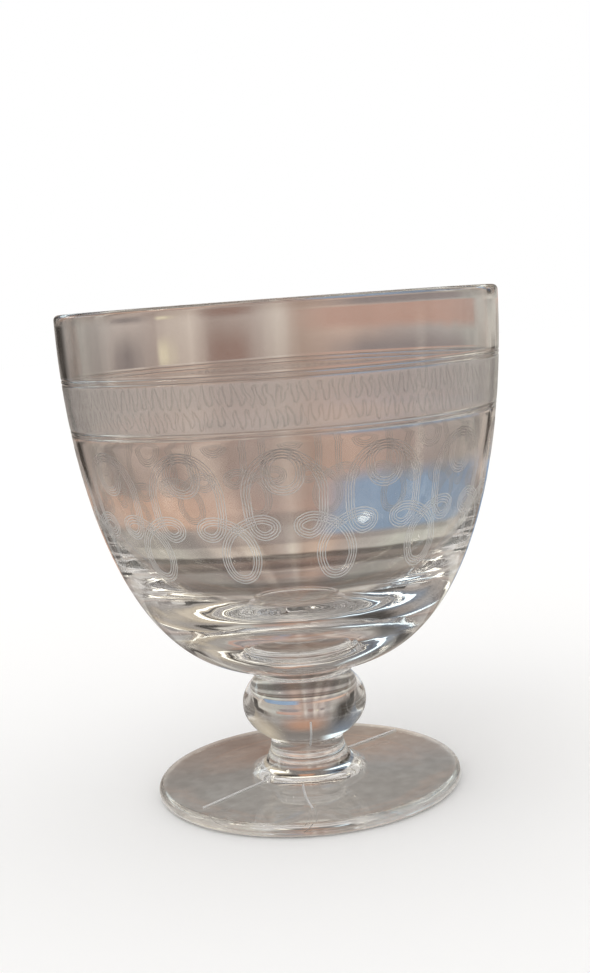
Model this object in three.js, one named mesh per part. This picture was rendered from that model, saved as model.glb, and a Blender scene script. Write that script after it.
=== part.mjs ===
// A footed drinking glass: five gathers of clear glass, joined hot on flat seats, one above the other.
// Millimetres, +Z up. The origin is the centre of the surface that the foot stands on.
import * as THREE from "three";

// Heights of the five gathers, from the table up
const footHeight = 5.6;
const neckHeight = 4.8;
const knopHeight = 13.4;
const collarHeight = 1.8;
const bowlHeight = 74.4;

// Foot
const footRadius = 31.5;
const footEdgeThickness = 2.6;
const footRise = 0.7; // how much the top climbs from the edge to the cove
const standingRingWidth = 6.5; // flat ring that touches the table
const undersideHollow = 0.8; // depth of the hollow inside that ring

// Neck and the cove that blends it into the foot
const neckRadius = 7.5;
const neckStraight = 0.3; // upright stretch that the cove leaves under the knop
const coveWidth = 5.5;

// Knop and collar
const knopRadius = 12.85;
const knopTopRadius = 8.9;
const collarRadius = 10.6;

// Bowl
const rimRadius = 44.0;
const rimWall = 2.0;
const bowlSeatRadius = 9.8;
const bowlBaseThickness = 9.5;
const wallFullness = 0.79; // share of the inside's depth that the wall falls before it turns in
const floorFullness = 0.72; // share of the inside's radius that the floor stays flat

// Ring lines cut round the bowl, in two pairs, measured down from the rim
const ringDrops = [12.6, 22.5];
const ringSpacing = 0.9;
const ringWidth = 0.5;
const ringDepth = 0.15;

// Facets
const turnSegments = 48;
const bowlSteps = 16;
const rimSteps = 6;
const arcSteps = 8;

// Seats, worked out from the heights
const neckSeat = footHeight;
const knopSeat = neckSeat + neckHeight;
const collarSeat = knopSeat + knopHeight;
const bowlSeat = collarSeat + collarHeight;

const glass = new THREE.MeshStandardMaterial({
  color: 0xe6e2dc,
  roughness: 0.05,
  metalness: 0,
  transparent: true,
  opacity: 0.35,
});

function point(radius, height) {
  return new THREE.Vector2(radius, height);
}

// Points of an arc about a centre, from one angle to another, both in radians from the radius axis.
// With an upright radius of its own it is part of an oval.
function arc(centreRadius, centreHeight, radius, from, to, steps, uprightRadius = radius) {
  return Array.from({ length: steps + 1 }, (_, i) => {
    const angle = from + ((to - from) * i) / steps;
    return point(centreRadius + radius * Math.cos(angle), centreHeight + uprightRadius * Math.sin(angle));
  });
}

// A closed solid turned about Z from a profile that runs from the axis, up the outside, back to the axis.
function turned(name, profile, seat) {
  const geometry = new THREE.LatheGeometry(profile, turnSegments).rotateX(Math.PI / 2);
  const mesh = new THREE.Mesh(geometry, glass.clone());
  mesh.name = name;
  mesh.position.z = seat;
  return mesh;
}

// The cove is a quarter oval that leaves the neck upright and lies down on the foot.
const coveFoot = footEdgeThickness + footRise;
const coveCentre = knopSeat - neckStraight;
const coveHeight = coveCentre - coveFoot;
const coveCentreRadius = neckRadius + coveWidth;
const coveSeatAngle = Math.asin((coveCentre - neckSeat) / coveHeight);

function cove(base, from, to) {
  return arc(coveCentreRadius, coveCentre - base, coveWidth, from, to, arcSteps / 2, coveHeight);
}

function makeFoot() {
  const edge = footEdgeThickness / 2;
  const edgeCentre = footRadius - edge;
  const hollowRadius = edgeCentre - standingRingWidth;
  const hollowCurve = (hollowRadius ** 2 + undersideHollow ** 2) / (2 * undersideHollow);
  const hollowAngle = Math.asin(hollowRadius / hollowCurve);
  const underside = arc(
    0,
    undersideHollow - hollowCurve,
    hollowCurve,
    Math.PI / 2,
    Math.PI / 2 - hollowAngle,
    arcSteps / 2,
  );
  const profile = [
    ...underside,
    ...arc(edgeCentre, edge, edge, -Math.PI / 2, Math.PI / 2, arcSteps),
    ...cove(0, -Math.PI / 2, -Math.PI + coveSeatAngle),
    point(0, footHeight),
  ];
  return turned("foot", profile, 0);
}

function makeNeck() {
  const flare = cove(neckSeat, -Math.PI + coveSeatAngle, -Math.PI);
  const profile = [point(0, 0), ...flare, point(neckRadius, neckHeight), point(0, neckHeight)];
  return turned("neck", profile, neckSeat);
}

// The knop is a flattened ball: its upright half-axis is the one that puts both seats on the ball.
function makeKnop() {
  const lowAngle = -Math.acos(neckRadius / knopRadius);
  const highAngle = Math.acos(knopTopRadius / knopRadius);
  const halfAxis = knopHeight / (Math.sin(highAngle) - Math.sin(lowAngle));
  const ball = arc(0, 0, 1, lowAngle, highAngle, arcSteps + arcSteps / 2);
  const skin = ball.map((p) => point(knopRadius * p.x, halfAxis * (p.y - Math.sin(lowAngle))));
  return turned("knop", [point(0, 0), ...skin, point(0, knopHeight)], knopSeat);
}

function makeCollar() {
  const edge = collarHeight / 2;
  const rounded = arc(collarRadius - edge, edge, edge, -Math.PI / 2, Math.PI / 2, arcSteps);
  return turned("upper_collar", [point(0, 0), ...rounded, point(0, collarHeight)], collarSeat);
}

// The bowl's outside: the drop from the rim is a cosine, and the radius is a sine to the power two thirds,
// so the wall leaves the rim upright and rounds in to the seat.
const rimCentre = bowlHeight - rimWall / 2;
const seatAngle = Math.asin((bowlSeatRadius / rimRadius) ** 1.5);
const outsideDepth = rimCentre / Math.cos(seatAngle);

function outsideRadius(height) {
  const drop = (rimCentre - height) / outsideDepth;
  return rimRadius * Math.cbrt(1 - drop ** 2);
}

function makeBowl() {
  const ringHeights = ringDrops.flatMap((drop) => [bowlHeight - drop, bowlHeight - drop - ringSpacing]);
  const rings = ringHeights.flatMap((height) =>
    [-1, 0, 1].map((side) => {
      const edgeHeight = height + (side * ringWidth) / 2;
      return point(outsideRadius(edgeHeight) - (side === 0 ? ringDepth : 0), edgeHeight);
    }),
  );
  const wall = Array.from({ length: bowlSteps }, (_, i) => {
    const angle = seatAngle + ((Math.PI / 2 - seatAngle) * i) / bowlSteps;
    const height = rimCentre - outsideDepth * Math.cos(angle);
    return point(outsideRadius(height), height);
  }).filter((p) => ringHeights.every((height) => Math.abs(p.y - height) > ringWidth));
  const outside = [...wall, ...rings].sort((a, b) => a.y - b.y);
  const rim = arc(rimRadius - rimWall / 2, rimCentre, rimWall / 2, 0, Math.PI, rimSteps);
  const insideRadius = rimRadius - rimWall;
  const insideDepth = rimCentre - bowlBaseThickness;
  const inside = new THREE.CubicBezierCurve(
    point(insideRadius, rimCentre),
    point(insideRadius, rimCentre - wallFullness * insideDepth),
    point(floorFullness * insideRadius, bowlBaseThickness),
    point(0, bowlBaseThickness),
  ).getPoints(bowlSteps);
  return turned("bowl", [point(0, 0), ...outside, ...rim, ...inside.slice(1)], bowlSeat);
}

const stemmedGlass = new THREE.Group();
stemmedGlass.add(makeFoot(), makeNeck(), makeKnop(), makeCollar(), makeBowl());

export default stemmedGlass;
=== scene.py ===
import math

import bpy
from mathutils import Matrix, Vector


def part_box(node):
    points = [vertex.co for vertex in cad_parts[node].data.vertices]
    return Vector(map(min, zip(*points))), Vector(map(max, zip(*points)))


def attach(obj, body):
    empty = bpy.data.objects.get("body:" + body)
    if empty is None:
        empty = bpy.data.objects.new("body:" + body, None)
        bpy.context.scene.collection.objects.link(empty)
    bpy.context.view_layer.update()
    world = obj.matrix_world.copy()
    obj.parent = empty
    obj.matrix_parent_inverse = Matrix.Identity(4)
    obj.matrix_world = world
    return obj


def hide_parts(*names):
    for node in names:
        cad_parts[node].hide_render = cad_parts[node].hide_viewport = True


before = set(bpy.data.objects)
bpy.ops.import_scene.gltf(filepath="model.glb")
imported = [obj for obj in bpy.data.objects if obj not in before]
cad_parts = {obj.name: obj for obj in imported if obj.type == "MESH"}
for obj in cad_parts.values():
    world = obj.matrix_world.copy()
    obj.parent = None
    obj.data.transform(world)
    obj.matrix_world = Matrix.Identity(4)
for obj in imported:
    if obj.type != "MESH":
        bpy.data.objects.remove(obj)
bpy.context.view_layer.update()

mm = 0.001
fullTurn = 2 * math.pi
print("frame loaded:", ", ".join(sorted(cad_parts)))


# The photograph's camera, found from the rim, the ring lines and the foot
photoView = {
    "distance": 273.5 * mm,  # from the glass's axis
    "height": 98.2 * mm,  # just under the rim
    "pitchDown": 7.512,
    "yaw": 0.260,
    "roll": -4.159,
    "focalPixels": 1354.0,
    "longSidePixels": 973.0,
    "sensor": 36.0,
    "nearest": 1 * mm,
}


def makeCamera():
    pitch, yaw, roll = (math.radians(photoView[k]) for k in ("pitchDown", "yaw", "roll"))
    ahead = Vector((math.sin(yaw) * math.cos(pitch), math.cos(yaw) * math.cos(pitch), -math.sin(pitch)))
    level = ahead.cross(Vector((0, 0, 1))).normalized()
    upright = level.cross(ahead)
    right = math.cos(roll) * level + math.sin(roll) * upright
    up = right.cross(ahead)
    data = bpy.data.cameras.new("photoCamera")
    data.sensor_width = photoView["sensor"]
    data.lens = photoView["focalPixels"] * photoView["sensor"] / photoView["longSidePixels"]
    data.clip_start = photoView["nearest"]
    camera = bpy.data.objects.new("photoCamera", data)
    place = Vector((0, -photoView["distance"], photoView["height"]))
    camera.matrix_world = Matrix.Translation(place) @ Matrix((right, up, -ahead)).transposed().to_4x4()
    bpy.context.scene.collection.objects.link(camera)
    bpy.context.scene.camera = camera


makeCamera()
print("camera placed")


def newObject(name, mesh):
    piece = bpy.data.objects.new(name, mesh)
    bpy.context.scene.collection.objects.link(piece)
    return piece


def feed(tree, socket, source):
    if isinstance(source, bpy.types.NodeSocket):
        tree.links.new(source, socket)
    else:
        socket.default_value = source


def addNode(tree, kind, inputs=(), **settings):
    node = tree.nodes.new(kind)
    for name, value in settings.items():
        setattr(node, name, value)
    for name, source in dict(inputs).items():
        feed(tree, node.inputs[name], source)
    return node


def calc(tree, operation, *values):
    node = tree.nodes.new("ShaderNodeMath")
    node.operation = operation
    for socket, value in zip(node.inputs, values):
        feed(tree, socket, value)
    return node.outputs[0]


def newMaterial(name):
    material = bpy.data.materials.new(name)
    material.use_nodes = True
    material.node_tree.nodes.clear()
    return material, material.node_tree


# Noise with a scale of its own along each axis of the piece
def addNoise(tree, coords, scale, detail):
    drawn = addNode(tree, "ShaderNodeMapping", {"Vector": coords, "Scale": scale})
    noise = addNode(tree, "ShaderNodeTexNoise", {
        "Vector": drawn.outputs["Vector"],
        "Scale": 1.0,
        "Detail": detail,
    })
    return noise.outputs["Fac"]


# Glass: clear and faintly warm, with the slow waves and the faint cords of uneven melt in a hand-made wall
glassLooks = {
    "bowlGlass": {
        "tint": (0.91, 0.885, 0.865, 1),
        "cordTint": (0.83, 0.80, 0.775, 1),
        "cords": (120, 120, 10),
        "waves": (90, 90, 22),
        "waveHeight": 0.06 * mm,
    },
    "stemGlass": {
        "tint": (0.91, 0.89, 0.87, 1),
        "cordTint": (0.84, 0.815, 0.79, 1),
        "cords": (150, 150, 60),
        "waves": (110, 110, 110),
        "waveHeight": 0.05 * mm,
    },
    "footGlass": {
        "tint": (0.96, 0.94, 0.915, 1),
        "cordTint": (0.74, 0.715, 0.69, 1),
        "cords": (330, 330, 330),
        "waves": (75, 75, 75),
        "waveHeight": 0.07 * mm,
    },
}
glassIndex = 1.5
cordRange = (0.32, 0.68)  # part of the noise that goes from one tint to the other
cordDetail = 3.0
surfaceDetail = 2.0  # of the waves and of etched grain


def makeGlass(name):
    look = glassLooks[name]
    material, tree = newMaterial(name)
    coords = addNode(tree, "ShaderNodeTexCoord").outputs["Object"]
    cord = addNoise(tree, coords, look["cords"], cordDetail)
    melt = addNode(tree, "ShaderNodeValToRGB", {"Fac": cord})
    for stop, spot, tint in zip(melt.color_ramp.elements, cordRange, (look["tint"], look["cordTint"])):
        stop.position = spot
        stop.color = tint
    wave = addNoise(tree, coords, look["waves"], surfaceDetail)
    bump = addNode(tree, "ShaderNodeBump", {"Height": wave, "Distance": look["waveHeight"]})
    shader = addNode(tree, "ShaderNodeBsdfPrincipled", {
        "Base Color": melt.outputs["Color"],
        "Roughness": 0.0,
        "IOR": glassIndex,
        "Transmission Weight": 1.0,
        "Normal": bump.outputs["Normal"],
    })
    addNode(tree, "ShaderNodeOutputMaterial", {"Surface": shader.outputs["BSDF"]})
    return material


# Where two gathers are fused there is no surface left, so light goes straight on
def makeFusedSeat():
    material, tree = newMaterial("fusedSeat")
    shader = addNode(tree, "ShaderNodeBsdfTransparent")
    addNode(tree, "ShaderNodeOutputMaterial", {"Surface": shader.outputs["BSDF"]})
    return material


# Acid-etched glass is matt, with a fine grain that is drawn out upwards in the band.
# "tones" are colours at heights above the table in mm, and a finish with one tone is even.
# "clear" is the share of light that goes through, "milk" is how far it spreads inside the white of a line,
# and "cover" is how much of the surface the etching takes.
etchLooks = {
    "etchedBand": {
        "tones": ((80, (0.835, 0.81, 0.79)),),
        "roughness": 0.18,
        "clear": 0.88,
        "milk": 0.0,
        "cover": 1.0,
        "grain": (1800, 1800, 250),
    },
    "etchedLine": {
        # the lines' tones are painted light and shade: near white low down as a painted highlight, darker
        # towards the top as painted shade
        "tones": (
            (52, (1.0, 0.99, 0.95)),
            (63, (1.0, 0.98, 0.93)),
            (67, (0.76, 0.71, 0.67)),
            (71, (0.53, 0.46, 0.42)),
            (75, (0.42, 0.37, 0.34)),
        ),
        "roughness": 0.5,
        "clear": 0.0,
        "milk": 0.6,
        "cover": 0.34,
        "grain": (4000, 4000, 4000),
    },
    "etchedStroke": {
        "tones": ((80, (0.15, 0.13, 0.12)),),
        "roughness": 0.5,
        "clear": 0.0,
        "milk": 0.0,
        "cover": 0.07,
        "grain": (4000, 4000, 4000),
    },
    "mouldLine": {
        "tones": ((4, (0.95, 0.94, 0.92)),),
        "roughness": 0.4,
        "clear": 0.0,
        "milk": 1.0,
        "cover": 0.5,
        "grain": (2000, 2000, 2000),
    },
}
milkDepth = 0.15 * mm
grainHeight = 0.012 * mm


# Colours along a length, from stops in its own units
def makeRamp(tree, share, span, stops):
    ramp = addNode(tree, "ShaderNodeValToRGB", {"Fac": share})
    ramp.color_ramp.interpolation = "EASE"
    for stop in range(len(stops) - 2):
        ramp.color_ramp.elements.new(0.5)
    for element, (place, tone) in zip(ramp.color_ramp.elements, stops):
        element.position = (place - span[0]) / (span[1] - span[0])
        element.color = (*tone, 1)
    return ramp.outputs["Color"]


def makeEtched(name):
    look = etchLooks[name]
    material, tree = newMaterial(name)
    coords = addNode(tree, "ShaderNodeTexCoord").outputs["Object"]
    grain = addNoise(tree, coords, look["grain"], surfaceDetail)
    bump = addNode(tree, "ShaderNodeBump", {"Height": grain, "Distance": grainHeight})
    tones = look["tones"]
    tint = (*tones[0][1], 1)
    # Tones at several heights, as on the etched lines, are painted light and shade by height
    if len(tones) > 1:
        low, high = tones[0][0], tones[-1][0]
        height = addNode(tree, "ShaderNodeSeparateXYZ", {"Vector": coords}).outputs["Z"]
        share = addNode(tree, "ShaderNodeMapRange", {
            "Value": height,
            "From Min": low * mm,
            "From Max": high * mm,
        })
        tint = makeRamp(tree, share.outputs["Result"], (low, high), tones)
    shader = addNode(tree, "ShaderNodeBsdfPrincipled", {
        "Base Color": tint,
        "Roughness": look["roughness"],
        "IOR": glassIndex,
        "Transmission Weight": look["clear"],
        "Subsurface Weight": look["milk"],
        "Subsurface Radius": (1, 1, 1),
        "Subsurface Scale": milkDepth,
        "Alpha": look["cover"],
        "Normal": bump.outputs["Normal"],
    })
    addNode(tree, "ShaderNodeOutputMaterial", {"Surface": shader.outputs["BSDF"]})
    return material


bowlGlass = makeGlass("bowlGlass")
stemGlass = makeGlass("stemGlass")
footGlass = makeGlass("footGlass")
fusedSeat = makeFusedSeat()
etchedBand = makeEtched("etchedBand")
etchedLine = makeEtched("etchedLine")
etchedStroke = makeEtched("etchedStroke")
mouldLine = makeEtched("mouldLine")
print("glass finishes made")


def newTree(name, inputs):
    tree = bpy.data.node_groups.new(name, "GeometryNodeTree")
    tree.interface.new_socket("Geometry", in_out="INPUT", socket_type="NodeSocketGeometry")
    for socketName, kind in inputs.items():
        tree.interface.new_socket(socketName, in_out="INPUT", socket_type="NodeSocket" + kind)
    tree.interface.new_socket("Geometry", in_out="OUTPUT", socket_type="NodeSocketGeometry")
    return tree, tree.nodes.new("NodeGroupInput").outputs


def runTree(tree, name, mesh, values):
    piece = newObject(name, mesh)
    modifier = piece.modifiers.new(tree.name, "NODES")
    modifier.node_group = tree
    for socket in tree.interface.items_tree:
        if socket.name in values:
            modifier[socket.identifier] = values[socket.name]
    evaluated = piece.evaluated_get(bpy.context.evaluated_depsgraph_get())
    piece.data = bpy.data.meshes.new_from_object(evaluated)
    piece.data.name = name
    piece.modifiers.remove(modifier)
    bpy.data.meshes.remove(mesh)
    used = {face.material_index for face in piece.data.polygons}
    for slot in reversed(range(len(piece.data.materials))):
        if slot not in used:
            piece.data.materials.pop(index=slot)
    return piece


def pathMesh(name, points):
    mesh = bpy.data.meshes.new(name)
    mesh.from_pydata(points, [(i, i + 1) for i in range(len(points) - 1)], [])
    return mesh


def finishPiece(piece, node=None):
    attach(piece, "root")
    if node:
        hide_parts(node)


turnLook = {
    "sharpAngle": 50.0,  # edges that turn by more stay sharp
    "mergeDistance": 0.0005 * mm,  # closes the sheet on itself and at the axis
}


# The column that a running number falls in, and its place in that column; the half guards against rounding
def splitIndex(tree, index, count):
    column = calc(tree, "FLOOR", calc(tree, "DIVIDE", calc(tree, "ADD", index, 0.5), count))
    return column, calc(tree, "SUBTRACT", index, calc(tree, "MULTIPLY", column, count))


# The place at a radius, an angle round Z from the front, and a height
def aroundAxis(tree, radius, angle, height):
    return addNode(tree, "ShaderNodeCombineXYZ", {
        "X": calc(tree, "MULTIPLY", radius, calc(tree, "SINE", angle)),
        "Y": calc(tree, "MULTIPLY", radius, calc(tree, "MULTIPLY", calc(tree, "COSINE", angle), -1.0)),
        "Z": height,
    }).outputs["Vector"]


# Turns a profile about Z: one column of the sheet for each step round, one row for each profile point
def makeTurningTree():
    tree, given = newTree("turnedGlass", {
        "Segments": "Int",
        "Clear": "Material",
        "Fused": "Material",
        "Etched": "Material",
    })
    profile = given["Geometry"]
    rows = addNode(tree, "GeometryNodeAttributeDomainSize", {"Geometry": profile}).outputs["Point Count"]
    columns = calc(tree, "ADD", given["Segments"], 1.0)
    sheet = addNode(tree, "GeometryNodeMeshGrid", {"Vertices X": columns, "Vertices Y": rows})
    index = tree.nodes.new("GeometryNodeInputIndex").outputs[0]
    column, row = splitIndex(tree, index, rows)
    place = tree.nodes.new("GeometryNodeInputPosition").outputs[0]
    sample = addNode(tree, "GeometryNodeSampleIndex", data_type="FLOAT_VECTOR", domain="POINT")
    feed(tree, sample.inputs["Geometry"], profile)
    feed(tree, sample.inputs["Value"], place)
    feed(tree, sample.inputs["Index"], row)
    point = addNode(tree, "ShaderNodeSeparateXYZ", {"Vector": sample.outputs["Value"]}).outputs
    angle = calc(tree, "MULTIPLY", calc(tree, "DIVIDE", column, given["Segments"]), fullTurn)
    skin = addNode(tree, "GeometryNodeSetPosition", {
        "Geometry": sheet.outputs["Mesh"],
        "Position": aroundAxis(tree, point["X"], angle, point["Z"]),
    }).outputs["Geometry"]
    spans = calc(tree, "SUBTRACT", rows, 1.0)
    _, span = splitIndex(tree, index, spans)
    mark = addNode(tree, "GeometryNodeInputNamedAttribute", {"Name": "finish"}, data_type="INT")
    finish = addNode(tree, "GeometryNodeSampleIndex", data_type="INT", domain="EDGE")
    feed(tree, finish.inputs["Geometry"], profile)
    feed(tree, finish.inputs["Value"], mark.outputs["Attribute"])
    feed(tree, finish.inputs["Index"], span)
    for number, name in enumerate(("Clear", "Fused", "Etched")):
        skin = addNode(tree, "GeometryNodeSetMaterial", {
            "Geometry": skin,
            "Selection": calc(tree, "COMPARE", finish.outputs["Value"], float(number), 0.5),
            "Material": given[name],
        }).outputs["Geometry"]
    smooth = addNode(tree, "GeometryNodeSetShadeSmooth", {"Geometry": skin}).outputs["Geometry"]
    closed = addNode(tree, "GeometryNodeMergeByDistance", {
        "Geometry": smooth,
        "Distance": turnLook["mergeDistance"],
    })
    addNode(tree, "NodeGroupOutput", {"Geometry": closed.outputs["Geometry"]})
    return tree


turningTree = makeTurningTree()
clearSpan, fusedSpan, etchedSpan = 0, 1, 2


# A profile is a row of (radius, height, finish of the span that follows)
def turn(name, profile, segments, glass):
    mesh = pathMesh(name + "_profile", [(radius, 0, height) for radius, height, _ in profile])
    marks = mesh.attributes.new("finish", "INT", "EDGE")
    for i, p in enumerate(profile[:-1]):
        marks.data[i].value = p[2]
    piece = runTree(turningTree, name, mesh, {
        "Segments": segments,
        "Clear": glass,
        "Fused": fusedSeat,
        "Etched": etchedBand,
    })
    piece.data.set_sharp_from_angle(angle=math.radians(turnLook["sharpAngle"]))
    return piece


def clear(points):
    return [(radius, height, clearSpan) for radius, height in points]


def fused(radius, height):
    return [(radius, height, fusedSpan)]


def arc(centreRadius, centreHeight, radius, start, end, steps, upright=None):
    upright = upright or radius  # an oval has an upright radius of its own
    angles = [start + (end - start) * i / steps for i in range(steps + 1)]
    return [(centreRadius + radius * math.cos(a), centreHeight + upright * math.sin(a)) for a in angles]


def cubic(a, b, c, d, steps):
    points = []
    for i in range(steps + 1):
        t = i / steps
        weights = ((1 - t) ** 3, 3 * t * (1 - t) ** 2, 3 * t * t * (1 - t), t ** 3)
        points.append(tuple(sum(w * p[axis] for w, p in zip(weights, (a, b, c, d))) for axis in (0, 1)))
    return points


bowlShape = {
    "rimWall": 2.0 * mm,
    "seatRadius": 9.8 * mm,
    "baseThickness": 9.5 * mm,
    "wallFullness": 0.79,
    "floorFullness": 0.72,
    "ringDrops": (12.6 * mm, 22.5 * mm),  # two pairs of cut rings, down from the rim
    "ringSpacing": 0.9 * mm,
    "ringWidth": 0.5 * mm,
    "ringDepth": 0.13 * mm,
    "ringClearance": 0.35 * mm,  # no other point of the profile lies nearer to a ring's middle
    "ringSteps": 8,
    "segments": 240,
    "steps": 80,
    "rimSteps": 16,
}

bowlLow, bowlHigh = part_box("bowl")
rimRadius = bowlHigh[0]
rimCentre = bowlHigh[2] - bowlShape["rimWall"] / 2
wallPower = 1 / 3
seatAngle = math.asin((bowlShape["seatRadius"] / rimRadius) ** (1 / (2 * wallPower)))
outsideDepth = (rimCentre - bowlLow[2]) / math.cos(seatAngle)


# The wall leaves the rim upright and rounds in to the seat
def outsideRadius(height):
    drop = (rimCentre - height) / outsideDepth
    return rimRadius * (1 - drop * drop) ** wallPower


def bowlOutside():
    s = bowlShape
    rings = [bowlHigh[2] - drop - k * s["ringSpacing"] for drop in s["ringDrops"] for k in (0, 1)]
    bandTop, bandFoot = rings[1] - s["ringWidth"] / 2, rings[2] + s["ringWidth"] / 2
    points = []
    for i in range(s["steps"]):
        angle = seatAngle + (math.pi / 2 - seatAngle) * i / s["steps"]
        height = rimCentre - outsideDepth * math.cos(angle)
        if all(abs(height - ring) > s["ringClearance"] for ring in rings):
            points.append((outsideRadius(height), height))
    for ring in rings:
        for k in range(s["ringSteps"] + 1):
            across = 2 * k / s["ringSteps"] - 1
            height = ring + across * s["ringWidth"] / 2
            cut = s["ringDepth"] * (0.5 + 0.5 * math.cos(math.pi * across))
            points.append((outsideRadius(height) - cut, height))
    points.sort(key=lambda p: p[1])
    slack = 0.001 * mm
    return [(r, z, etchedSpan if bandFoot - slack <= z < bandTop - slack else clearSpan) for r, z in points]


def makeBowl():
    s = bowlShape
    wall = s["rimWall"]
    rim = arc(rimRadius - wall / 2, rimCentre, wall / 2, 0, math.pi, s["rimSteps"])
    inRadius = rimRadius - wall
    floor = bowlLow[2] + s["baseThickness"]
    depth = rimCentre - floor
    inside = cubic((inRadius, rimCentre), (inRadius, rimCentre - s["wallFullness"] * depth),
                   (s["floorFullness"] * inRadius, floor), (0, floor), s["steps"])
    profile = fused(0, bowlLow[2]) + bowlOutside() + clear(rim) + clear(inside[1:])
    finishPiece(turn("clear_bowl", profile, s["segments"], bowlGlass), "bowl")


makeBowl()
print("bowl turned")


stemShape = {
    "knopTopRadius": 8.9 * mm,
    "neckRadius": 7.5 * mm,
    "neckStraight": 0.3 * mm,
    "coveWidth": 5.5 * mm,  # quarter oval from the neck down to the foot
    "coveFoot": 3.3 * mm,
    "segments": 160,
    "steps": 40,
}

footShape = {
    "edgeThickness": 2.6 * mm,
    "standingRing": 6.5 * mm,
    "hollow": 0.8 * mm,
    "segments": 240,
    "steps": 24,
}

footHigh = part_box("foot")[1]
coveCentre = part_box("knop")[0][2] - stemShape["neckStraight"]
coveHeight = coveCentre - stemShape["coveFoot"]
coveSeat = -math.pi + math.asin((coveCentre - footHigh[2]) / coveHeight)


def cove(start, end, steps):
    width = stemShape["coveWidth"]
    return arc(stemShape["neckRadius"] + width, coveCentre, width, start, end, steps, coveHeight)


def makeCollar():
    s = stemShape
    low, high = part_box("upper_collar")
    edge = (high[2] - low[2]) / 2
    rounded = arc(high[0] - edge, low[2] + edge, edge, -math.pi / 2, math.pi / 2, s["steps"] // 2)
    profile = fused(0, low[2]) + clear([(s["knopTopRadius"], low[2])]) + clear(rounded[:-1])
    profile += fused(*rounded[-1]) + fused(0, high[2])
    finishPiece(turn("stem_collar", profile, s["segments"], stemGlass), "upper_collar")


def knopProfile():
    s = stemShape
    low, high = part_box("knop")
    lowAngle = -math.acos(s["neckRadius"] / high[0])
    highAngle = math.acos(s["knopTopRadius"] / high[0])
    halfAxis = (high[2] - low[2]) / (math.sin(highAngle) - math.sin(lowAngle))
    ball = arc(0, 0, 1, lowAngle, highAngle, s["steps"])
    return [(high[0] * c, low[2] + halfAxis * (z - math.sin(lowAngle))) for c, z in ball]


def makeKnop():
    ball = knopProfile()
    profile = fused(0, ball[0][1]) + clear(ball[:-1]) + fused(*ball[-1]) + fused(0, ball[-1][1])
    finishPiece(turn("stem_knop", profile, stemShape["segments"], stemGlass), "knop")


def makeNeck():
    s = stemShape
    low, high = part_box("neck")
    flare = cove(coveSeat, -math.pi, s["steps"] // 2)
    top = (s["neckRadius"], high[2])
    profile = fused(0, low[2]) + clear(flare) + fused(*top) + fused(0, high[2])
    finishPiece(turn("stem_neck", profile, s["segments"], stemGlass), "neck")


def footTop():
    edge = footShape["edgeThickness"] / 2
    rounded = arc(footHigh[0] - edge, edge, edge, -math.pi / 2, math.pi / 2, footShape["steps"])
    return rounded, cove(-math.pi / 2, coveSeat, footShape["steps"])


def makeFoot():
    s = footShape
    rounded, rise = footTop()
    hollowRadius = rounded[0][0] - s["standingRing"]
    curve = (hollowRadius ** 2 + s["hollow"] ** 2) / (2 * s["hollow"])
    reach = math.asin(hollowRadius / curve)
    underside = arc(0, s["hollow"] - curve, curve, math.pi / 2, math.pi / 2 - reach, s["steps"])
    underside[0] = (0, s["hollow"])
    profile = clear(underside) + clear(rounded) + clear(rise[:-1]) + fused(*rise[-1]) + fused(0, footHigh[2])
    finishPiece(turn("round_foot", profile, s["segments"], footGlass), "foot")


makeCollar()
makeKnop()
makeNeck()
makeFoot()
print("stem and foot turned")


ridgeTop = 0.4  # share of an etched line's width that its top keeps


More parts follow.
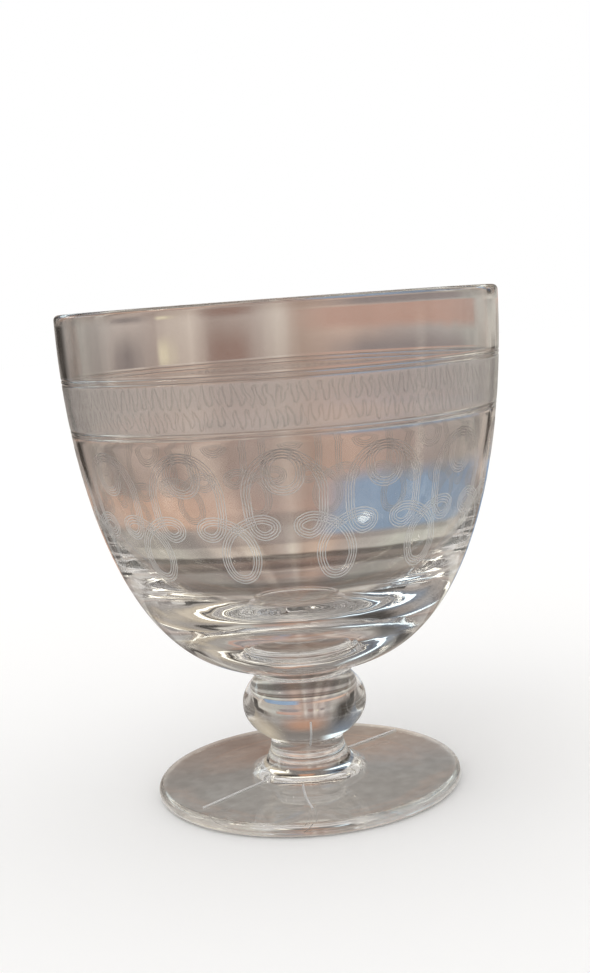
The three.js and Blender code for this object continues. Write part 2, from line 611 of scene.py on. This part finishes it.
# A flat frieze, drawn along X with its height above the table along Y, is bent round the bowl
# as low matt ridges
def makeFriezeTree():
    tree, given = newTree("etchedFrieze", {
        "Repeats": "Int",
        "Repeat Length": "Float",
        "Lines": "Int",
        "Line Pitch": "Float",
        "Line Width": "Float",
        "Line Height": "Float",
        "Step": "Float",
        "Wander": "Float",
        "Wander Size": "Float",
        "Frieze Radius": "Float",
        "Phase": "Float",
        "Rim Radius": "Float",
        "Rim Centre": "Float",
        "Bowl Depth": "Float",
        "Finish": "Material",
    })
    motif = addNode(tree, "GeometryNodeMeshToCurve", {"Mesh": given["Geometry"]}).outputs["Curve"]
    rounded = addNode(tree, "GeometryNodeCurveSplineType", {"Curve": motif}, spline_type="CATMULL_ROM")
    even = addNode(tree, "GeometryNodeResampleCurve", mode="LENGTH")
    feed(tree, even.inputs["Curve"], rounded.outputs["Curve"])
    feed(tree, even.inputs["Length"], given["Step"])
    copies = addNode(tree, "GeometryNodeDuplicateElements", domain="SPLINE")
    feed(tree, copies.inputs["Geometry"], even.outputs["Curve"])
    feed(tree, copies.inputs["Amount"], given["Lines"])
    middle = calc(tree, "DIVIDE", calc(tree, "SUBTRACT", given["Lines"], 1.0), 2.0)
    aside = calc(tree, "SUBTRACT", copies.outputs["Duplicate Index"], middle)
    aside = calc(tree, "MULTIPLY", aside, given["Line Pitch"])
    tangent = tree.nodes.new("GeometryNodeInputTangent").outputs[0]
    across = addNode(tree, "ShaderNodeVectorMath", {0: tangent, 1: (0, 0, 1)}, operation="CROSS_PRODUCT")
    shift = addNode(tree, "ShaderNodeVectorMath", {0: across.outputs[0], "Scale": aside}, operation="SCALE")
    lines = addNode(tree, "GeometryNodeSetPosition", {
        "Geometry": copies.outputs["Geometry"],
        "Offset": shift.outputs[0],
    }).outputs["Geometry"]
    level = addNode(tree, "GeometryNodeSetCurveNormal", {"Curve": lines}, mode="Z_UP").outputs["Curve"]
    ridge = addNode(tree, "GeometryNodeCurvePrimitiveQuadrilateral", mode="TRAPEZOID")
    feed(tree, ridge.inputs["Bottom Width"], given["Line Width"])
    feed(tree, ridge.inputs["Top Width"], calc(tree, "MULTIPLY", given["Line Width"], ridgeTop))
    feed(tree, ridge.inputs["Height"], given["Line Height"])
    feed(tree, ridge.inputs["Offset"], 0.0)
    strip = addNode(tree, "GeometryNodeCurveToMesh", {
        "Curve": level,
        "Profile Curve": ridge.outputs["Curve"],
        "Fill Caps": True,
    })
    pitch = addNode(tree, "ShaderNodeCombineXYZ", {"X": given["Repeat Length"]}).outputs["Vector"]
    row = addNode(tree, "GeometryNodeMeshLine", {"Count": given["Repeats"], "Offset": pitch})
    placed = addNode(tree, "GeometryNodeInstanceOnPoints", {
        "Points": row.outputs["Mesh"],
        "Instance": strip.outputs["Mesh"],
    })
    frieze = addNode(tree, "GeometryNodeRealizeInstances", {"Geometry": placed.outputs["Instances"]})
    place = tree.nodes.new("GeometryNodeInputPosition").outputs[0]
    flat = addNode(tree, "ShaderNodeSeparateXYZ", {"Vector": place}).outputs
    angle = calc(tree, "ADD", calc(tree, "DIVIDE", flat["X"], given["Frieze Radius"]), given["Phase"])
    spot = addNode(tree, "ShaderNodeCombineXYZ", {
        "X": calc(tree, "MULTIPLY", calc(tree, "SINE", angle), given["Frieze Radius"]),
        "Y": calc(tree, "MULTIPLY", calc(tree, "COSINE", angle), given["Frieze Radius"]),
        "Z": flat["Y"],
    })
    wobble = addNode(tree, "ShaderNodeTexNoise", {
        "Vector": spot.outputs["Vector"],
        "Scale": calc(tree, "DIVIDE", 1.0, given["Wander Size"]),
        "Detail": 1.0,
    })
    stray = addNode(tree, "ShaderNodeSeparateXYZ", {"Vector": wobble.outputs["Color"]}).outputs
    slip = calc(tree, "MULTIPLY", calc(tree, "SUBTRACT", stray["X"], 0.5), given["Wander"])
    lift = calc(tree, "MULTIPLY", calc(tree, "SUBTRACT", stray["Y"], 0.5), given["Wander"])
    angle = calc(tree, "ADD", angle, calc(tree, "DIVIDE", slip, given["Frieze Radius"]))
    height = calc(tree, "ADD", flat["Y"], lift)
    drop = calc(tree, "DIVIDE", calc(tree, "SUBTRACT", given["Rim Centre"], height), given["Bowl Depth"])
    left = calc(tree, "SUBTRACT", 1.0, calc(tree, "MULTIPLY", drop, drop))
    radius = calc(tree, "MULTIPLY", calc(tree, "POWER", left, wallPower), given["Rim Radius"])
    radius = calc(tree, "ADD", radius, flat["Z"])
    wrapped = addNode(tree, "GeometryNodeSetPosition", {
        "Geometry": frieze.outputs["Geometry"],
        "Position": aroundAxis(tree, radius, angle, height),
    })
    finished = addNode(tree, "GeometryNodeSetMaterial", {
        "Geometry": wrapped.outputs["Geometry"],
        "Material": given["Finish"],
    })
    addNode(tree, "NodeGroupOutput", {"Geometry": finished.outputs["Geometry"]})
    return tree


friezeTree = makeFriezeTree()


def makeFrieze(name, path, look, finish):
    mesh = pathMesh(name + "_path", [(x, z, 0) for x, z in path])
    return runTree(friezeTree, name, mesh, {
        "Repeats": look["repeats"],
        "Repeat Length": fullTurn * look["friezeRadius"] / look["repeats"],
        "Lines": look["lines"],
        "Line Pitch": look["linePitch"],
        "Line Width": look["lineWidth"],
        "Line Height": look["lineHeight"],
        "Step": look["step"],
        "Wander": look["wander"],
        "Wander Size": look["wanderSize"],
        "Frieze Radius": look["friezeRadius"],
        "Phase": math.radians(look["phase"]),
        "Rim Radius": rimRadius,
        "Rim Centre": rimCentre,
        "Bowl Depth": outsideDepth,
        "Finish": finish,
    })


# One endless ribbon of four lines: arch with a ring inside, ear, low ring, ear, next arch.
# The points are the ribbon's middle, in mm from the centre line of the arch or low ring and from the table.
loopLook = {
    "repeats": 14,
    "phase": -1.2,
    "friezeRadius": 41.5 * mm,
    "lines": 4,
    "linePitch": 0.5 * mm,
    "lineWidth": 0.26 * mm,
    "lineHeight": 0.05 * mm,
    "step": 0.35 * mm,
    "wander": 0.5 * mm,
    "wanderSize": 9.0 * mm,
    "arch": ((-6.9, 65.6), (-6.9, 67.0), (-6.2, 69.3), (-4.7, 71.6), (-2.2, 73.2)),
    "archRing": ((0.6, 73.5), (2.5, 72.2), (2.95, 69.8), (2.0, 67.6), (0, 66.9)),
    "lowRing": ((0, 50.7), (-1.9, 51.4), (-3.0, 53.6), (-3.0, 56.0), (-2.0, 58.4), (0, 60.3)),
    "ear": ((2.7, 61.6), (5.2, 61.9), (7.1, 61.0), (7.0, 59.5),
            (5.1, 58.7), (3.4, 59.7), (2.6, 62.0), (2.41, 64.4)),
}


def makeLoops():
    look = loopLook
    half = math.pi * look["friezeRadius"] / look["repeats"]
    up = [(x * mm, z * mm) for x, z in look["arch"] + look["archRing"]]
    low = [(x * mm, z * mm) for x, z in look["lowRing"] + look["ear"]]
    path = up + [(-x, z) for x, z in reversed(up[:-1])]
    path += [(half - x, z) for x, z in reversed(low)] + [(half + x, z) for x, z in low[1:]]
    path.append((2 * half + up[0][0], up[0][1]))
    finishPiece(makeFrieze("etched_loops", path, look, etchedLine))


# Two rows of uneven needle strokes between the ring pairs
strokeLook = {
    "repeats": 146,
    "phase": 0.0,
    "friezeRadius": 43.2 * mm,
    "lines": 1,
    "linePitch": 0.0,
    "lineWidth": 0.32 * mm,
    "lineHeight": 0.05 * mm,
    "step": 0.35 * mm,
    "wander": 2.2 * mm,
    "wanderSize": 2.6 * mm,
    "rows": ((82.2 * mm, 85.8 * mm), (78.5 * mm, 81.6 * mm)),
    # one stroke up and down, as shares of a stroke's pitch and of the row's height
    "stroke": ((0, 0), (0.30, 0.08), (0.38, 0.5), (0.45, 0.92), (0.62, 1), (0.82, 0.5), (1, 0)),
}


def makeStrokes():
    look = strokeLook
    pitch = fullTurn * look["friezeRadius"] / look["repeats"]
    for number, (low, high) in enumerate(look["rows"]):
        path = [(along * pitch, low + up * (high - low)) for along, up in look["stroke"]]
        strokes = makeFrieze("etched_strokes_%d" % (number + 1), path, look, etchedStroke)
        finishPiece(strokes)


makeLoops()
makeStrokes()
print("ornament etched")


# Fine raised lines that the mould left, as thin beads along the surface.
# A foot seam has its angle at the start and at the end, from the front, and its radius at both in mm.
seamLook = {
    "beadRadius": 0.23 * mm,
    "beadSides": 8,
    "raised": 0.18 * mm,
    "step": 0.8 * mm,
    "points": 12,
    "footSeams": ((-48.0, -48.0, 12.0, 28.6), (136.0, 136.0, 12.0, 28.6), (-7.0, 0.0, 12.5, 24.0)),
    "stemSeams": (4.0,),  # degrees round the stem
}


def makeSeamTree():
    tree, given = newTree("mouldSeam", {"Bead Radius": "Float", "Step": "Float", "Finish": "Material"})
    path = addNode(tree, "GeometryNodeMeshToCurve", {"Mesh": given["Geometry"]}).outputs["Curve"]
    even = addNode(tree, "GeometryNodeResampleCurve", {"Curve": path, "Length": given["Step"]}, mode="LENGTH")
    bead = addNode(tree, "GeometryNodeCurvePrimitiveCircle", {
        "Resolution": seamLook["beadSides"],
        "Radius": given["Bead Radius"],
    })
    line = addNode(tree, "GeometryNodeCurveToMesh", {
        "Curve": even.outputs["Curve"],
        "Profile Curve": bead.outputs["Curve"],
        "Fill Caps": True,
    })
    smooth = addNode(tree, "GeometryNodeSetShadeSmooth", {"Geometry": line.outputs["Mesh"]})
    real = addNode(tree, "GeometryNodeRealizeInstances", {"Geometry": smooth.outputs["Geometry"]})
    finished = addNode(tree, "GeometryNodeSetMaterial", {
        "Geometry": real.outputs["Geometry"],
        "Material": given["Finish"],
    })
    addNode(tree, "NodeGroupOutput", {"Geometry": finished.outputs["Geometry"]})
    return tree


seamTree = makeSeamTree()


def makeSeam(name, path):
    piece = runTree(seamTree, name, pathMesh(name + "_path", path), {
        "Bead Radius": seamLook["beadRadius"],
        "Step": seamLook["step"],
        "Finish": mouldLine,
    })
    finishPiece(piece)


def atAngle(radius, height, degrees):
    angle = math.radians(degrees)
    return (radius * math.sin(angle), -radius * math.cos(angle), height)


def makeSeams():
    rounded, rise = footTop()
    (edgeRadius, edgeHeight), (riseRadius, riseHeight) = rounded[-1], rise[0]
    slope = (riseHeight - edgeHeight) / (edgeRadius - riseRadius)
    steps = seamLook["points"]
    for number, (startAngle, endAngle, start, end) in enumerate(seamLook["footSeams"]):
        path = []
        for i in range(steps + 1):
            radius = (start + (end - start) * i / steps) * mm
            height = edgeHeight + slope * (edgeRadius - radius)
            if radius < riseRadius:
                lean = (riseRadius - radius) / stemShape["coveWidth"]
                height = coveCentre - coveHeight * math.sqrt(1 - lean ** 2)
            height += seamLook["raised"]
            path.append(atAngle(radius, height, startAngle + (endAngle - startAngle) * i / steps))
        makeSeam("foot_seam_%d" % (number + 1), path)
    ball = knopProfile()
    stemSide = [(stemShape["neckRadius"], coveCentre)] + ball[:len(ball) // 2]
    for number, degrees in enumerate(seamLook["stemSeams"]):
        path = [atAngle(radius + seamLook["raised"], height, degrees) for radius, height in stemSide]
        makeSeam("stem_seam_%d" % (number + 1), path)


makeSeams()
print("mould seams laid")


studio = {
    "floorSize": 6.0,
    "floorColour": (0.95, 0.95, 0.95, 1),
    "floorDrop": 0.1 * mm,  # keeps the floor clear of the foot and of the paper
    "seen": 1.0,  # white for the camera and the glass
    "fill": 0.98,
    "fillColour": (1, 0.99, 0.98, 1),
    "sunPlace": (-0.4, -0.5, 1.0),
    "sunPower": 0.36,
    "sunAngle": 50.0,
}
white = (1, 1, 1, 1)
stageMiddle = Vector((0, 0, 0.05))  # half-way up the glass


def makeFloor():
    half = studio["floorSize"] / 2
    mesh = bpy.data.meshes.new("floor")
    corners = [(-half, -half, 0), (half, -half, 0), (half, half, 0), (-half, half, 0)]
    mesh.from_pydata(corners, [], [(0, 1, 2, 3)])
    material, tree = newMaterial("paleFloor")
    shader = addNode(tree, "ShaderNodeBsdfDiffuse", {"Color": studio["floorColour"]})
    addNode(tree, "ShaderNodeOutputMaterial", {"Surface": shader.outputs["BSDF"]})
    mesh.materials.append(material)
    floor = newObject("floor", mesh)
    floor.location.z = -studio["floorDrop"]


def makeWorld():
    world = bpy.data.worlds.new("studio")
    bpy.context.scene.world = world
    world.use_nodes = True
    tree = world.node_tree
    tree.nodes.clear()
    seen = addNode(tree, "ShaderNodeBackground", {"Color": white, "Strength": studio["seen"]})
    fill = addNode(tree, "ShaderNodeBackground", {
        "Color": studio["fillColour"],
        "Strength": studio["fill"],
    })
    path = addNode(tree, "ShaderNodeLightPath").outputs
    direct = calc(tree, "MAXIMUM", path["Is Camera Ray"], path["Is Glossy Ray"])
    shown = calc(tree, "MAXIMUM", direct, path["Is Transmission Ray"])
    mix = addNode(tree, "ShaderNodeMixShader", {
        0: shown,
        1: fill.outputs["Background"],
        2: seen.outputs["Background"],
    })
    addNode(tree, "ShaderNodeOutputWorld", {"Surface": mix.outputs["Shader"]})


def makeSun():
    data = bpy.data.lights.new("skyLamp", "SUN")
    data.energy = studio["sunPower"]
    data.angle = math.radians(studio["sunAngle"])
    lamp = bpy.data.objects.new("skyLamp", data)
    lamp.location = studio["sunPlace"]
    lamp.rotation_euler = (stageMiddle - lamp.location).to_track_quat("-Z", "Y").to_euler()
    lamp.visible_camera = False
    lamp.visible_glossy = False
    lamp.visible_transmission = False
    bpy.context.scene.collection.objects.link(lamp)


# A round glowing sheet, toned like tinted paper, lies on the floor and curves up all round the glass.
# Its tones change round the glass, and painted light and shade change them by height: a painted shadow
# under the foot, a bright painted ring just round its edge, and darker and brighter bands that show in the
# glass as streaks. Panels, strip lights and small cards stand in front of it, as the things in a room do,
# and a warm and a blue sheet lie on it. Only the glass sees them.
# "around" runs from straight behind the glass towards the right, and "up" from the horizon, both in degrees.
# "soft" is the share of half a panel over which its edge fades out.
sweep = {
    "around": (-180, 180),
    "up": (-89.9, 14),
    "away": 0.95,
    "soft": 0.12,
    "columns": 120,
    "tones": (
        (-180, (0.62, 0.595, 0.56)),
        (-120, (0.58, 0.56, 0.53)),
        (-70, (0.50, 0.47, 0.44)),
        (-32, (0.33, 0.30, 0.28)),
        (-19, (0.44, 0.42, 0.39)),
        (-14, (0.34, 0.31, 0.295)),
        (-10.5, (0.54, 0.47, 0.43)),
        (-8.5, (0.38, 0.31, 0.28)),
        (-6, (0.62, 0.54, 0.48)),
        (-4, (0.34, 0.27, 0.24)),
        (-1.6, (0.40, 0.33, 0.30)),
        (-0.5, (0.70, 0.66, 0.61)),
        (0.6, (0.40, 0.30, 0.25)),
        (4.5, (0.56, 0.42, 0.35)),
        (7, (0.42, 0.34, 0.31)),
        (10, (0.40, 0.37, 0.36)),
        (17, (0.44, 0.44, 0.41)),
        (34, (0.56, 0.53, 0.48)),
        (75, (0.58, 0.58, 0.57)),
        (120, (0.58, 0.56, 0.53)),
        (180, (0.62, 0.595, 0.56)),
    ),
    # painted light and shade by height: a painted shadow under the foot, a bright painted ring round it, and
    # bands that give the glass its streaks
    "paintedLightAndShade": (
        (-89.9, (0.70, 0.70, 0.70)),
        (-59.5, (0.68, 0.68, 0.68)),
        (-57.5, (1.55, 1.58, 1.58)),
        (-53, (1.55, 1.58, 1.58)),
        (-49, (0.38, 0.37, 0.36)),
        (-43, (0.38, 0.37, 0.36)),
        (-39, (1.0, 1.0, 1.0)),
        (-35.5, (1.0, 1.0, 1.0)),
        (-33, (0.44, 0.40, 0.38)),
        (-29.5, (0.66, 0.58, 0.54)),
        (-28, (0.34, 0.32, 0.30)),
        (-26.5, (0.34, 0.32, 0.30)),
        (-25, (1.50, 1.55, 1.50)),
        (-21.5, (1.45, 1.50, 1.45)),
        (-20, (0.95, 0.95, 0.95)),
        (-15, (0.92, 0.92, 0.92)),
        (-13.5, (0.70, 0.64, 0.62)),
        (-12, (0.70, 0.62, 0.60)),
        (-10.5, (1.12, 0.98, 0.92)),
        (-7, (1.08, 1.0, 0.96)),
        (0, (1.06, 1.04, 1.02)),
        (3.5, (1.30, 1.32, 1.32)),
        (6.5, (0.90, 0.86, 0.84)),
        (14, (0.80, 0.76, 0.74)),
    ),
}
dark, cream = (0.04, 0.035, 0.03), (0.99, 0.98, 0.87)
sweepLift = -0.05 * mm  # the paper lies on the floor, just under the foot
sheetLift = -0.03 * mm  # and the two sheets on the paper
panelDefaults = {"power": 1.0, "soft": 0.35, "lift": sweepLift, "columns": 16}
panelRows = 48
panels = {
    "backPanel": {"around": (-115, 115), "up": (5, 85), "away": 0.80,
                  "colour": (0.23, 0.21, 0.195), "soft": 0.2},
    "coolPanel": {"around": (-80, -10), "up": (9, 46), "away": 0.76,
                  "colour": (0.17, 0.23, 0.31), "soft": 0.5},
    "warmPanel": {"around": (12, 95), "up": (8, 44), "away": 0.76,
                  "colour": (0.67, 0.59, 0.46), "soft": 0.5},
    "brownPanel": {"around": (-35, 30), "up": (42, 68), "away": 0.74,
                   "colour": (0.37, 0.25, 0.19), "soft": 0.5},
    "darkStrip": {"around": (-46, -15), "up": (-4, 17), "away": 0.68, "colour": dark, "soft": 0.7},
    "rustStrip": {"around": (-20, 22), "up": (5, 16), "away": 0.66,
                  "colour": (0.50, 0.28, 0.18), "soft": 0.9},
    "lowStrip": {"around": (22, 58), "up": (3, 9), "away": 0.66, "colour": dark, "soft": 0.8},
    "creamStrip": {"around": (12, 100), "up": (20, 26), "away": 0.64, "colour": cream, "power": 2.0},
    "middleStrip": {"around": (-10, 95), "up": (29, 36), "away": 0.64, "colour": dark},
    "skyStrip": {"around": (-90, -8), "up": (17, 23), "away": 0.64,
                 "colour": (0.78, 0.94, 1.0), "power": 2.0},
    "slateStrip": {"around": (-95, -15), "up": (27, 34), "away": 0.64, "colour": (0.06, 0.065, 0.08)},
    "highCream": {"around": (-70, 60), "up": (40, 45), "away": 0.64, "colour": cream, "power": 2.0},
    "highStrip": {"around": (-50, 80), "up": (49, 56), "away": 0.64, "colour": dark},
    "topLight": {"around": (-30, 75), "up": (62, 74), "away": 0.64, "colour": cream, "power": 2.0},
    "orangeCard": {"around": (-6, 12), "up": (27, 38), "away": 0.62,
                   "colour": (0.62, 0.33, 0.20), "soft": 0.5},
    "blueCard": {"around": (12, 48), "up": (52, 62), "away": 0.62,
                 "colour": (0.33, 0.47, 0.68), "soft": 0.5},
    "roseCard": {"around": (0.3, 21), "up": (2.2, 4.8), "away": 0.90, "colour": (0.57, 0.36, 0.29)},
    "greyCard": {"around": (1.2, 19), "up": (-0.6, 2.6), "away": 0.88,
                 "colour": (0.29, 0.25, 0.25), "soft": 0.6},
    "brownCard": {"around": (-5.4, -0.9), "up": (-0.4, 3.4), "away": 0.90,
                  "colour": (0.32, 0.20, 0.165), "soft": 0.8},
    "creamCard": {"around": (-8.6, -6.4), "up": (1.2, 2.9), "away": 0.86,
                  "colour": (0.88, 0.80, 0.60), "soft": 0.9},
    "duskCard": {"around": (-13, -8.4), "up": (0.2, 3.4), "away": 0.90,
                 "colour": (0.24, 0.20, 0.195), "soft": 0.9},
    "warmPaper": {"around": (-34, -1), "up": (-15.5, -5.5), "away": 0.90,
                  "colour": (0.74, 0.51, 0.39), "soft": 0.6, "lift": sheetLift},
    "bluePaper": {"around": (1.5, 30), "up": (-19.5, -5), "away": 0.90,
                  "colour": (0.27, 0.40, 0.58), "lift": sheetLift},
    "leftEdge": {"around": (-45, -35), "up": (-9, 6), "away": 0.30, "colour": dark},
    "leftOuter": {"around": (-64, -52), "up": (-9, 6), "away": 0.30, "colour": (0.30, 0.265, 0.24)},
    "rightEdge": {"around": (37, 47), "up": (-9, 6), "away": 0.30, "colour": dark},
    "rightOuter": {"around": (54, 66), "up": (-9, 6), "away": 0.30, "colour": (0.30, 0.28, 0.27)},
    "frontLight": {"around": (-112, -99), "up": (43, 53), "away": 0.60,
                   "colour": cream, "power": 12.0, "soft": 0.4},
    "leftLight": {"around": (-90, -79), "up": (2, 38), "away": 0.60,
                  "colour": cream, "power": 3.0, "soft": 0.6},
    "rightLight": {"around": (80, 91), "up": (10, 38), "away": 0.60,
                   "colour": cream, "power": 3.0, "soft": 0.6},
}


# 1 well inside a panel and 0 at its edge; "inward" is the share of the panel between a place and the edge
def fadeEdge(tree, inward, soft):
    edge = addNode(tree, "ShaderNodeMapRange", interpolation_type="SMOOTHSTEP")
    feed(tree, edge.inputs["Value"], inward)
    feed(tree, edge.inputs["From Max"], soft / 2)
    return edge.outputs["Result"]


# A panel shines evenly and fades out at its edges.
# The paper has tones and painted light and shade, and its top fades out.
def panelFinish(name, panel):
    material, tree = newMaterial(name)
    place = addNode(tree, "ShaderNodeTexCoord").outputs["UV"]
    across = addNode(tree, "ShaderNodeSeparateXYZ", {"Vector": place}).outputs
    shine = addNode(tree, "ShaderNodeEmission", {"Strength": panel["power"]})
    if "tones" in panel:
        tone = makeRamp(tree, across["X"], panel["around"], panel["tones"])
        # the paper's painted light and shade by height
        shade = makeRamp(tree, across["Y"], panel["up"], panel["paintedLightAndShade"])
        shaded = addNode(tree, "ShaderNodeVectorMath", {0: tone, 1: shade}, operation="MULTIPLY")
        feed(tree, shine.inputs["Color"], shaded.outputs[0])
        beyond = addNode(tree, "ShaderNodeEmission", {"Color": white, "Strength": studio["seen"]})
        mask = fadeEdge(tree, calc(tree, "SUBTRACT", 1.0, across["Y"]), panel["soft"])
    else:
        feed(tree, shine.inputs["Color"], (*panel["colour"], 1))
        beyond = addNode(tree, "ShaderNodeBsdfTransparent")
        inward = [calc(tree, "MINIMUM", calc(tree, "SUBTRACT", 1.0, across[k]), across[k]) for k in "XY"]
        mask = calc(tree, "MULTIPLY", *(fadeEdge(tree, share, panel["soft"]) for share in inward))
    mix = addNode(tree, "ShaderNodeMixShader", {
        0: mask,
        1: beyond.outputs[0],
        2: shine.outputs["Emission"],
    })
    addNode(tree, "ShaderNodeOutputMaterial", {"Surface": mix.outputs["Shader"]})
    return material


def makePanel(name, own):
    panel = {**panelDefaults, **own}
    (left, right), (low, high) = panel["around"], panel["up"]
    columns = panel["columns"]
    spots, shares = [], []
    for j in range(panelRows + 1):
        up = math.radians(low + (high - low) * j / panelRows)
        for i in range(columns + 1):
            around = math.radians(left + (right - left) * i / columns)
            out = Vector((math.sin(around) * math.cos(up), math.cos(around) * math.cos(up), math.sin(up)))
            reach = panel["away"]
            if up < 0:  # what would reach below the floor lies on it
                reach = min(reach, (stageMiddle.z - panel["lift"]) / math.sin(-up))
            spots.append(stageMiddle + reach * out)
            shares.append((i / columns, j / panelRows))
    wide = columns + 1
    corners = [j * wide + i for j in range(panelRows) for i in range(columns)]
    mesh = bpy.data.meshes.new(name)
    mesh.from_pydata(spots, [], [(k, k + 1, k + 1 + wide, k + wide) for k in corners])
    flat = mesh.uv_layers.new(name="panel")
    for loop in mesh.loops:
        flat.data[loop.index].uv = shares[loop.vertex_index]
    mesh.materials.append(panelFinish(name, panel))
    piece = newObject(name, mesh)
    piece.visible_camera = False
    piece.visible_shadow = False
    piece.visible_diffuse = False


makeFloor()
makeWorld()
makeSun()
makePanel("paperSweep", sweep)
for panelName, panel in panels.items():
    makePanel(panelName, panel)
bpy.context.scene.view_settings.view_transform = "Standard"
# Light runs a long way inside thick glass and through the fused seats
pathLengths = {
    "max_bounces": 32,
    "glossy_bounces": 24,
    "transmission_bounces": 32,
    "transparent_max_bounces": 32,
}
for limit, count in pathLengths.items():
    setattr(bpy.context.scene.cycles, limit, count)
print("studio set")
